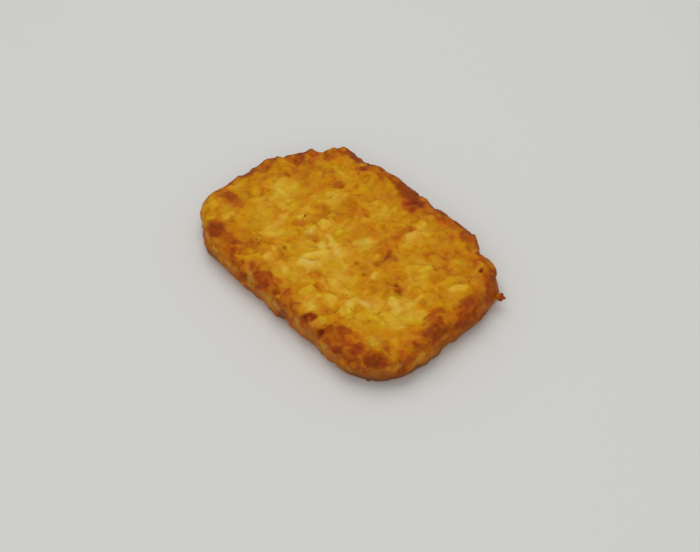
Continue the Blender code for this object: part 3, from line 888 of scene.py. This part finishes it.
named_pieces = make_named_pieces(skin.data)
print("named pieces:", len(named_pieces.data.vertices))

# %% [markdown]
# ## Numbers and places in a geometry tree
# Both trees below reckon with the same few things, so each is a short function: numbers drawn at random
# with a fixed seed, numbers kept on the points under a name, and vectors.


# %% Numbers and vectors
def random_between(tree, low, high, seed):
    """A random number for each point."""
    inputs = {"Min": low, "Max": high, "Seed": seed}
    return add(tree, "FunctionNodeRandomValue", inputs, "Value", data_type="FLOAT")


def skewed(tree, power, seed):
    """A random number from 0 to 1 for each point, more often low the higher the power."""
    return calc(tree, "POWER", random_between(tree, 0.0, 1.0, seed), power)


def between(tree, share, low, high):
    """The number that lies this share of the way from low to high."""
    return times(tree, share, calc(tree, "SUBTRACT", high, low), low)


def named(tree, attribute, kind="FLOAT"):
    """Reads an attribute by its name."""
    return add(tree, "GeometryNodeInputNamedAttribute", {"Name": attribute}, "Attribute", data_type=kind)


def keep_as(tree, geometry, attribute, value):
    """Stores a number on each point under a name."""
    inputs = {"Geometry": geometry, "Name": attribute, "Value": value}
    return add(tree, "GeometryNodeStoreNamedAttribute", inputs, data_type="FLOAT", domain="POINT")


def axes(tree, vector):
    """A vector's three numbers."""
    return node(tree, "ShaderNodeSeparateXYZ", {0: vector}).outputs


def triple(tree, x, y, z):
    """Three numbers as a vector."""
    return add(tree, "ShaderNodeCombineXYZ", {0: x, 1: y, 2: z})


def scaled(tree, vector, factor):
    """A vector times a number."""
    return add(tree, "ShaderNodeVectorMath", {0: vector, "Scale": factor}, operation="SCALE")


print("numbers on the skin:", [item.name for item in skin.data.attributes if item.data_type == "FLOAT"])

# %% [markdown]
# ## Laying lumps on a surface
# Pieces and crumbs are made alike: points are scattered over a surface, the unwanted ones are dropped, a
# lump is laid on each, and noise bends the lumps out of true, because no two bits of potato are alike.


# %% Points and lumps
def moved_by(tree, geometry, name, vector):
    """Geometry whose points are moved, by an "Offset" or to a new "Position"."""
    return add(tree, "GeometryNodeSetPosition", {"Geometry": geometry, name: vector})


def scatter(tree, surface, given):
    """Points spread over a surface at the given spacing, each with its normal and rotation."""
    spacing = given["Spacing"]
    density = calc(tree, "DIVIDE", 2.0, times(tree, spacing, spacing))
    inputs = {"Mesh": surface, "Distance Min": spacing, "Density Max": density, "Seed": given["Seed"]}
    kind = "GeometryNodeDistributePointsOnFaces"
    return node(tree, kind, inputs, distribute_method="POISSON").outputs


def without(tree, points, unwanted):
    """The points less the unwanted ones."""
    inputs = {"Geometry": points, "Selection": unwanted}
    return add(tree, "GeometryNodeDeleteGeometry", inputs, domain="POINT")


def cloud_of(tree, thing):
    """The points that a helper object holds."""
    return add(tree, "GeometryNodeObjectInfo", {"Object": thing}, "Geometry")


def ball(tree, detail):
    """A ball one metre across."""
    return add(tree, "GeometryNodeMeshIcoSphere", {"Radius": 0.5, "Subdivisions": detail}, "Mesh")


def real(tree, geometry):
    """Instances turned into geometry of their own."""
    return add(tree, "GeometryNodeRealizeInstances", {"Geometry": geometry})


def laid(tree, points, shape, rotation, size):
    """A copy of a shape on each point."""
    inputs = {"Points": points, "Instance": shape, "Rotation": rotation, "Scale": size}
    return real(tree, add(tree, "GeometryNodeInstanceOnPoints", inputs))


def wobbled(tree, lumps, size, reach):
    """The lumps bent out of true by noise."""
    position = add(tree, "GeometryNodeInputPosition")
    inputs = {"Vector": position, "Scale": 1.0 / size, "Detail": 1.0}
    wobble = add(tree, "ShaderNodeTexNoise", inputs, "Color")
    offset = scaled(tree, plus(tree, wobble, (-0.5, -0.5, -0.5)), reach)
    return moved_by(tree, lumps, "Offset", offset)


def joined(tree, *parts):
    """Several geometries as one."""
    join = node(tree, "GeometryNodeJoinGeometry")
    for part in parts:
        tree.links.new(part, join.inputs[0])
    return join.outputs[0]


skin_area = sum(face.area for face in skin.data.polygons)
print("skin to lay lumps on, cm2:", round(1e4 * skin_area))

# %% [markdown]
# ## Pressed pieces, by Geometry Nodes
# Sculpting a thousand lumps by hand would take days, and a noise bump has no pieces in it at all. A tree
# does what the press does. First it lays rounded blocks of potato over the skin, long thin shreds and
# short wide bits, turned at random and half sunk, with the named ones among them. Each scattered one has
# a tone of its own, and takes more paleness from a pale area.

# %% Lumps of potato
PIECE_SIZES = {
    "Spacing": 3.0 * MM,
    "Shortest": 3.2 * MM,
    "Longest": 11.0 * MM,
    "Narrowest": 2.0 * MM,
    "Widest": 5.0 * MM,
    "Rise": 0.31 * MM,
    "Gap Depth": 0.25 * MM,
    "Pit Depth": 0.7 * MM,
    "Seed": 7,
}
CLEAR_OF_NAMED = 2.4 * MM
LUMP_POWER = 0.6
LUMP_DETAIL = 3
FLAT_RANGE = (0.3, 0.9)
DARKEST, PALEST, SIDE_TONE = -0.20, 0.33, 0.5
AREA_SHARE = 1.1
TONE_SKEW, LENGTH_SKEW = 1.6, 1.8
WIDTH_LUCK, RISE_LUCK = (0.75, 1.15), (0.5, 1.0)
NAMED_RISE = 1.1


def turned(tree, rotation, angle):
    """A rotation with a spin about its own upright axis added."""
    spin = add(tree, "FunctionNodeAxisAngleToRotation", {"Axis": (0.0, 0.0, 1.0), "Angle": angle})
    inputs = {"Rotation": rotation, "Rotate By": spin}
    return add(tree, "FunctionNodeRotateRotation", inputs, rotation_space="LOCAL")


def flatness(tree, normal, on_side):
    """1 where the ground is level, falling to this number on the side."""
    return ramp(tree, calc(tree, "ABSOLUTE", axes(tree, normal)[2]), *FLAT_RANGE, on_side, 1.0)


def boxy(tree, vector):
    """Pushes a ball's points towards a box."""
    pushed_out = []
    for part in axes(tree, vector):
        size = times(tree, calc(tree, "ABSOLUTE", part), 2.0)
        size = times(tree, calc(tree, "POWER", size, LUMP_POWER), 0.5)
        pushed_out.append(times(tree, calc(tree, "SIGN", part), size))
    return triple(tree, *pushed_out)


def lay_lumps(tree, points, rotation, length, width, rise):
    """A rounded block on each point, of this length, width and rise."""
    position = add(tree, "GeometryNodeInputPosition")
    block = moved_by(tree, ball(tree, LUMP_DETAIL), "Position", boxy(tree, position))
    size = triple(tree, length, width, times(tree, rise, 2.0))
    return laid(tree, points, block, rotation, size)


def lay_scattered(tree, given, named_cloud):
    """Lumps all over the skin but where a named one lies, each with a tone and a shape of its own."""
    spread = scatter(tree, given["Skin"], given)
    nearest = add(tree, "GeometryNodeProximity", {0: named_cloud}, "Distance", target_element="POINTS")
    too_near = calc(tree, "LESS_THAN", nearest, CLEAR_OF_NAMED)
    free = without(tree, spread["Points"], too_near)
    tone = times(tree, skewed(tree, TONE_SKEW, 31), PALEST - DARKEST, DARKEST)
    tone = times(tree, tone, flatness(tree, spread["Normal"], SIDE_TONE))
    tone = times(tree, named(tree, "pale_area"), AREA_SHARE, tone)
    free = keep_as(tree, free, "paleness", tone)
    rotation = turned(tree, spread["Rotation"], random_between(tree, 0.0, 2.0 * math.pi, 32))
    stretch = skewed(tree, LENGTH_SKEW, 33)
    length = between(tree, stretch, given["Shortest"], given["Longest"])
    width = between(tree, calc(tree, "POWER", stretch, 0.5), given["Widest"], given["Narrowest"])
    width = times(tree, width, random_between(tree, *WIDTH_LUCK, 34))
    rise = times(tree, given["Rise"], random_between(tree, *RISE_LUCK, 35))
    return lay_lumps(tree, free, rotation, length, width, rise)


def lay_named(tree, given, named_cloud):
    """One lump on each named point, as it was read off."""
    inputs = {"Vector": named(tree, "up", "FLOAT_VECTOR")}
    upwards = add(tree, "FunctionNodeAlignRotationToVector", inputs, axis="Z")
    rotation = turned(tree, upwards, named(tree, "turn"))
    rise = times(tree, given["Rise"], NAMED_RISE)
    return lay_lumps(tree, named_cloud, rotation, named(tree, "length"), named(tree, "width"), rise)


print("lengths of lumps, mm:", [round(PIECE_SIZES[name] / MM, 1) for name in ("Shortest", "Longest")])

# %% [markdown]
# ## Where the skin meets the lumps
# From above each point of the skin a ray goes down onto the lumps. Where it meets one, the skin rises to
# it and takes its tone, and where it meets none, the skin sinks into the gap. Joining the lumps as solids
# would be the other way, and would leave sharp cuts and thousands of slivers.

# %% Meeting the lumps
RAY_START, RAY_REACH = 5.0, 1.4
CROWN_SHARE, GAP_SHARE = 0.7, 0.25
EDGE_TONE = 0.2
GAP_AREA_SHARE = 0.7


def choice(tree, condition, if_not, if_so):
    """One of two numbers."""
    inputs = {"Switch": condition, "False": if_not, "True": if_so}
    return add(tree, "GeometryNodeSwitch", inputs, input_type="FLOAT")


def meet_lumps(tree, given, lumps, position, normal):
    """How high the lumps stand over each point of the skin, its tone, and how much of a gap it is."""
    rise = given["Rise"]
    start = times(tree, rise, RAY_START)
    inputs = {
        "Target Geometry": lumps,
        "Attribute": named(tree, "paleness"),
        "Source Position": plus(tree, position, scaled(tree, normal, start)),
        "Ray Direction": scaled(tree, normal, -1.0),
        "Ray Length": times(tree, start, RAY_REACH),
    }
    ray = node(tree, "GeometryNodeRaycast", inputs, data_type="FLOAT").outputs
    sunk = times(tree, given["Gap Depth"], -1.0)
    found = calc(tree, "SUBTRACT", start, live(ray, "Hit Distance"))
    height = choice(tree, ray["Is Hit"], sunk, calc(tree, "MAXIMUM", found, sunk))
    bare = times(tree, named(tree, "pale_area"), GAP_AREA_SHARE)
    crown = ramp(tree, height, 0.0, times(tree, rise, CROWN_SHARE), EDGE_TONE, 1.0)
    faded = between(tree, crown, bare, live(ray, "Attribute"))
    tone = choice(tree, ray["Is Hit"], bare, faded)
    gap = ramp(tree, height, sunk, times(tree, rise, GAP_SHARE), 1.0, 0.0)
    return height, tone, gap


print("rays start above the skin, mm:", round(RAY_START * PIECE_SIZES["Rise"] / MM, 2))

# %% [markdown]
# ## The whole tree of pieces
# Noise bends the lumps out of true before the skin meets them. After that a little blur rounds the steps,
# as frying does. A point that lies lower than the ground around it is in a crease, and is marked as one, so
# that the material paints shade there.
# Fine granules and the pits are added, and nothing goes below the floor.

# %% Tree of pressed pieces
WOBBLES = ((8.0 * MM, 3.0 * MM), (2.6 * MM, 1.3 * MM))
BLUR, WIDE_BLUR, SLIGHT_BLUR = 2, 9, 1
BLUR_WEIGHT = 0.8
GAP_STRENGTH = 0.5
CREASE_DEPTHS = (0.02 * MM, 0.16 * MM)
ROUGH_SIZE, ROUGH_HEIGHT = 1.1 * MM, 0.24 * MM
GRANULE_SIZE, GRANULE_DEPTH = 1.9 * MM, 0.22 * MM
FINE_RISE = 0.1 * MM
SIDE_SHARE = 0.35


def blurred(tree, value, rounds=BLUR):
    """A number evened out with its neighbours on the mesh."""
    inputs = {"Value": value, "Iterations": rounds, "Weight": BLUR_WEIGHT}
    return add(tree, "GeometryNodeBlurAttribute", inputs, "Value", data_type="FLOAT")


def end_tree(tree, geometry, given, results):
    """Ends a tree in real geometry with the given material."""
    inputs = {"Geometry": real(tree, geometry), "Material": given["Material"]}
    tree.links.new(add(tree, "GeometryNodeSetMaterial", inputs), results[0])
    return tree


def run_tree(carrier, tree, values, name):
    """Runs a tree on an object with these named inputs and returns the result as a plain object."""
    modifier = carrier.modifiers.new(name, "NODES")
    modifier.node_group = tree
    for item in tree.interface.items_tree:
        if item.in_out == "INPUT" and item.socket_type != GEOMETRY:
            modifier[item.identifier] = values.get(item.name, getattr(item, "default_value", None))
    piece = link(name, plain_mesh(carrier, name))
    carrier.modifiers.remove(modifier)
    piece.data.shade_smooth()
    return piece


def make_piece_tree():
    """The tree that presses pieces into a skin."""
    inputs = {"Skin": GEOMETRY, "Named Pieces": OBJECT, **PIECE_SIZES, "Material": MATERIAL}
    tree, given, results = new_tree("pressed_pieces", "GeometryNodeTree", inputs, {"Crust": GEOMETRY})
    position = add(tree, "GeometryNodeInputPosition")
    normal = add(tree, "GeometryNodeInputNormal")
    named_cloud = cloud_of(tree, given["Named Pieces"])
    scattered = lay_scattered(tree, given, named_cloud)
    lumps = joined(tree, scattered, lay_named(tree, given, named_cloud))
    for size, reach in WOBBLES:
        lumps = wobbled(tree, lumps, size, reach)
    height, tone, gap = meet_lumps(tree, given, lumps, position, normal)

    crust = keep_as(tree, given["Skin"], "pale_piece", blurred(tree, tone))
    # gaps and creases, where the material paints shade
    hollow = calc(tree, "SUBTRACT", blurred(tree, height, WIDE_BLUR), blurred(tree, height, SLIGHT_BLUR))
    gap = times(tree, blurred(tree, gap), GAP_STRENGTH)
    gap = calc(tree, "MAXIMUM", gap, ramp(tree, hollow, *CREASE_DEPTHS))
    crust = keep_as(tree, crust, "gap", gap)
    crust = keep_as(tree, crust, "lift", blurred(tree, height))

    fine = centred(tree, speckle(tree, position, ROUGH_SIZE), ROUGH_HEIGHT)
    fine = times(tree, granules(tree, position, GRANULE_SIZE), -GRANULE_DEPTH, fine)
    fine = calc(tree, "ADD", fine, FINE_RISE)
    lift = times(tree, named(tree, "lift"), flatness(tree, normal, SIDE_SHARE), fine)
    lift = calc(tree, "SUBTRACT", lift, times(tree, named(tree, "pit"), given["Pit Depth"]))
    x, y, z = axes(tree, plus(tree, position, scaled(tree, normal, lift)))
    place = triple(tree, x, y, calc(tree, "MAXIMUM", z, 0.0))
    return end_tree(tree, moved_by(tree, crust, "Position", place), given, results)


piece_values = {"Named Pieces": named_pieces, "Material": crust_material}
crust = run_tree(skin, make_piece_tree(), piece_values, "crust")
print("crust faces:", len(crust.data.polygons))

# %% [markdown]
# ## Crumbs, by Geometry Nodes
# Flakes of batter and potato cling to the rim and the side. Modelled one by one they would all be alike
# or take for ever, so a tree scatters small flakes over the sloping parts of the crust, each with its own
# size, turn and browning, bent by noise and sunk to its middle, so that it grips what carries it. One
# large crumb hangs from the far right corner. It is a string of four lumps, each put where it really is.

# %% Tree of crumbs
CRUMB_SIZES = {"Spacing": 2.4 * MM, "Smallest": 0.4 * MM, "Largest": 1.0 * MM, "Share": 0.3, "Seed": 4}
CRUMB_SHAPE = (1.3, 0.8, 0.55)
CRUMB_SLOPES = (0.2, 0.9)
CRUMB_SKEW = 2.0
CRUMB_BROWNING = (0.1, 1.0)
CRUMB_DETAIL, LARGE_CRUMB_DETAIL = 2, 4
CRUMB_WOBBLE, LARGE_CRUMB_WOBBLE = (0.45 * MM, 0.5 * MM), (1.3 * MM, 0.65 * MM)
ANY_TURN = (6.3, 6.3, 6.3)
LARGE_CRUMBS = (  # its place and its size in millimetres, and how browned it is
    (48.4, 21.9, 5.3, 2.1, 0.8),
    (48.8, 22.1, 5.1, 1.5, 0.65),
    (47.7, 21.6, 4.8, 2.5, 0.45),
    (46.6, 20.9, 4.4, 1.9, 0.3),
)


def make_large_crumbs():
    """A cloud of points for the four lumps of the large crumb."""
    mesh = bpy.data.meshes.new("large_crumbs")
    mesh.from_pydata([(x * MM, y * MM, z * MM) for x, y, z, *_ in LARGE_CRUMBS], [], [])
    size, browned = np.array(LARGE_CRUMBS).T[3:]
    store(mesh, "size", size * MM)
    store(mesh, "browned", browned)
    return link("large_crumbs", mesh)


def lay_crumbs(tree, points, size, detail, wobble):
    """A rough lump on each point, turned at random."""
    inputs = {"Max": ANY_TURN, "Seed": 51}
    spin = add(tree, "FunctionNodeRandomValue", inputs, "Value", data_type="FLOAT_VECTOR")
    lumps = laid(tree, points, ball(tree, detail), spin, scaled(tree, CRUMB_SHAPE, size))
    return wobbled(tree, lumps, *wobble)


def make_crumb_tree():
    """The tree that scatters crumbs over the sloping parts of a crust."""
    inputs = {"Crust": GEOMETRY, "Large Crumbs": OBJECT, **CRUMB_SIZES, "Material": MATERIAL}
    tree, given, results = new_tree("clinging_crumbs", "GeometryNodeTree", inputs, {"Crumbs": GEOMETRY})
    spread = scatter(tree, given["Crust"], given)
    upward = axes(tree, spread["Normal"])[2]
    flat = calc(tree, "GREATER_THAN", upward, CRUMB_SLOPES[1])
    under = calc(tree, "LESS_THAN", upward, CRUMB_SLOPES[0])
    skipped = calc(tree, "GREATER_THAN", random_between(tree, 0.0, 1.0, 41), given["Share"])
    unwanted = calc(tree, "MAXIMUM", calc(tree, "MAXIMUM", flat, under), skipped)
    kept = without(tree, spread["Points"], unwanted)
    kept = keep_as(tree, kept, "browned", random_between(tree, *CRUMB_BROWNING, 42))
    size = between(tree, skewed(tree, CRUMB_SKEW, 43), given["Smallest"], given["Largest"])
    small = lay_crumbs(tree, kept, size, CRUMB_DETAIL, CRUMB_WOBBLE)
    large_cloud = cloud_of(tree, given["Large Crumbs"])
    large = lay_crumbs(tree, large_cloud, named(tree, "size"), LARGE_CRUMB_DETAIL, LARGE_CRUMB_WOBBLE)
    return end_tree(tree, joined(tree, small, large), given, results)


large_crumbs = make_large_crumbs()
crumb_material = fried_material("fried_crumbs", doneness=0.5, masks=["Browned"])
crumb_values = {"Large Crumbs": large_crumbs, "Material": crumb_material}
crumbs = run_tree(crust, make_crumb_tree(), crumb_values, "crumbs")
print("crumb faces:", len(crumbs.data.polygons))

# %% [markdown]
# ## The room
# The patty lies on a plain pale floor under wide soft lamps, so that its shadow is a soft dark line where
# it touches and nothing else competes with it. The world is a dim even grey that keeps the shadows open.

# %% Floor, lamps and world
FLOOR_HALF = 1.5
FLOOR_COLOUR = (0.78, 0.78, 0.75, 1.0)
FLOOR_ROUGHNESS = 0.6
FLOOR_SHINE = 0.2
WORLD_COLOUR = (1.0, 1.0, 1.0, 1.0)
WORLD_STRENGTH = 0.38
LAMPS = (  # name, compass angle and height angle in degrees, distance and size in metres, power in watts
    ("key_lamp", 150.0, 72.0, 0.9, 0.9, 2.9),
    ("fill_lamp", -45.0, 45.0, 1.2, 0.9, 3.1),
)


def make_floor():
    """The pale floor that the patty lies on."""
    material, _, shader = new_material("pale_floor", FLOOR_SHINE)
    shader.inputs["Base Color"].default_value = FLOOR_COLOUR
    shader.inputs["Roughness"].default_value = FLOOR_ROUGHNESS
    corners = [(-1, -1), (1, -1), (1, 1), (-1, 1)]
    mesh = bpy.data.meshes.new("floor")
    mesh.from_pydata([(FLOOR_HALF * x, FLOOR_HALF * y, 0.0) for x, y in corners], [], [(0, 1, 2, 3)])
    mesh.materials.append(material)
    return link("floor", mesh)


def make_lamp(name, azimuth, elevation, distance, size, power):
    """A wide soft lamp that looks at the patty."""
    light = bpy.data.lights.new(name, "AREA")
    light.shape = "DISK"
    light.size = size
    light.energy = power
    away = direction(math.radians(azimuth), math.radians(elevation))
    link(name, light).matrix_world = aim_matrix(Vector((0.0, 0.0, 0.0)), away, distance)


def make_world():
    """A dim even sky."""
    world = bpy.data.worlds.new("room")
    world.use_nodes = True
    background = world.node_tree.nodes["Background"]
    background.inputs["Color"].default_value = WORLD_COLOUR
    background.inputs["Strength"].default_value = WORLD_STRENGTH
    bpy.context.scene.world = world


floor = make_floor()
for lamp in LAMPS:
    make_lamp(*lamp)
make_world()
bpy.context.scene.view_settings.view_transform = "Standard"
print("lamps:", len(LAMPS))

# %% [markdown]
# ## Handing the pieces over
# Each finished piece rides on the imported body, and the crust stands in for the plain solid. The helper
# objects go.

# %% Finish
for helper in (skin, named_pieces, large_crumbs):
    bpy.data.objects.remove(helper)
for piece in (crust, crumbs):
    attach(piece, "root")
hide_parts("patty")
